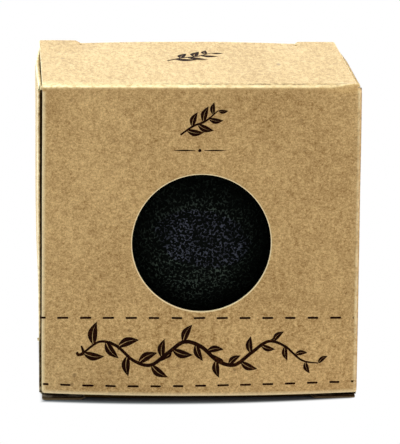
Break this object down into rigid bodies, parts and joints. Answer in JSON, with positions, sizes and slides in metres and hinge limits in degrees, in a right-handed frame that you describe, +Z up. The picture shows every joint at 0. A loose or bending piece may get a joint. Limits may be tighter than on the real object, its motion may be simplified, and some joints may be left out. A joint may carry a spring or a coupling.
{
  "type": "boxed konjac sponge",
  "caption": "Black half-ball konjac sponge in a small kraft-board folding carton with a round window; both ends open on tuck lids and dust flaps.",
  "frame": {"origin": "middle of the carton's foot, on the surface it stands on", "axes": "+X across the front to the right, the windowed front faces -Y, +Z up"},
  "size_m": [0.08, 0.0485, 0.082],
  "materials": {
    "kraft_board": "uncoated kraft board, 0.45 mm, matt, flecked",
    "glue": "dried dispersion glue",
    "konjac_sponge": "charcoal-black open-pored konjac sponge, matt"
  },
  "bodies": {
    "carton": {"front_panel": "kraft_board", "right_panel": "kraft_board", "back_panel": "kraft_board", "left_panel": "kraft_board", "glue_flap": "kraft_board", "glue_strip": "glue", "sponge": "konjac_sponge"},
    "top_lid": {"top_lid": "kraft_board"},
    "top_tuck_flap": {"top_tuck_flap": "kraft_board"},
    "top_dust_flap_left": {"top_dust_flap_left": "kraft_board"},
    "top_dust_flap_right": {"top_dust_flap_right": "kraft_board"},
    "bottom_lid": {"bottom_lid": "kraft_board"},
    "bottom_tuck_flap": {"bottom_tuck_flap": "kraft_board"},
    "bottom_dust_flap_left": {"bottom_dust_flap_left": "kraft_board"},
    "bottom_dust_flap_right": {"bottom_dust_flap_right": "kraft_board"}
  },
  "joints": [
    {"name": "top_lid_crease", "type": "hinge", "parent": "carton", "child": "top_lid", "pos_m": [0, -0.02152, 0.08178], "axis": [1, 0, 0], "range_deg": [0, 180]},
    {"name": "top_tuck_crease", "type": "hinge", "parent": "top_lid", "child": "top_tuck_flap", "pos_m": [0, 0.02328, 0.08178], "axis": [1, 0, 0], "range_deg": [0, 27]},
    {"name": "top_dust_crease_left", "type": "hinge", "parent": "carton", "child": "top_dust_flap_left", "pos_m": [-0.03977, 0, 0.08123], "axis": [0, -1, 0], "range_deg": [0, 90]},
    {"name": "top_dust_crease_right", "type": "hinge", "parent": "carton", "child": "top_dust_flap_right", "pos_m": [0.03977, 0, 0.08123], "axis": [0, 1, 0], "range_deg": [0, 90]},
    {"name": "bottom_lid_crease", "type": "hinge", "parent": "carton", "child": "bottom_lid", "pos_m": [0, 0.02403, 0.00022], "axis": [1, 0, 0], "range_deg": [0, 180]},
    {"name": "bottom_tuck_crease", "type": "hinge", "parent": "bottom_lid", "child": "bottom_tuck_flap", "pos_m": [0, -0.02077, 0.00022], "axis": [1, 0, 0], "range_deg": [0, 27]},
    {"name": "bottom_dust_crease_left", "type": "hinge", "parent": "carton", "child": "bottom_dust_flap_left", "pos_m": [-0.03977, 0, 0.00077], "axis": [0, 1, 0], "range_deg": [0, 90]},
    {"name": "bottom_dust_crease_right", "type": "hinge", "parent": "carton", "child": "bottom_dust_flap_right", "pos_m": [0.03977, 0, 0.00077], "axis": [0, -1, 0], "range_deg": [0, 90]}
  ],
  "couplings": [
    {"joint": "top_tuck_crease", "follows": "top_lid_crease", "ratio": 0.15},
    {"joint": "top_dust_crease_left", "follows": "top_lid_crease", "ratio": 0.5},
    {"joint": "top_dust_crease_right", "follows": "top_lid_crease", "ratio": 0.5},
    {"joint": "bottom_tuck_crease", "follows": "bottom_lid_crease", "ratio": 0.15},
    {"joint": "bottom_dust_crease_left", "follows": "bottom_lid_crease", "ratio": 0.5},
    {"joint": "bottom_dust_crease_right", "follows": "bottom_lid_crease", "ratio": 0.5}
  ]
}
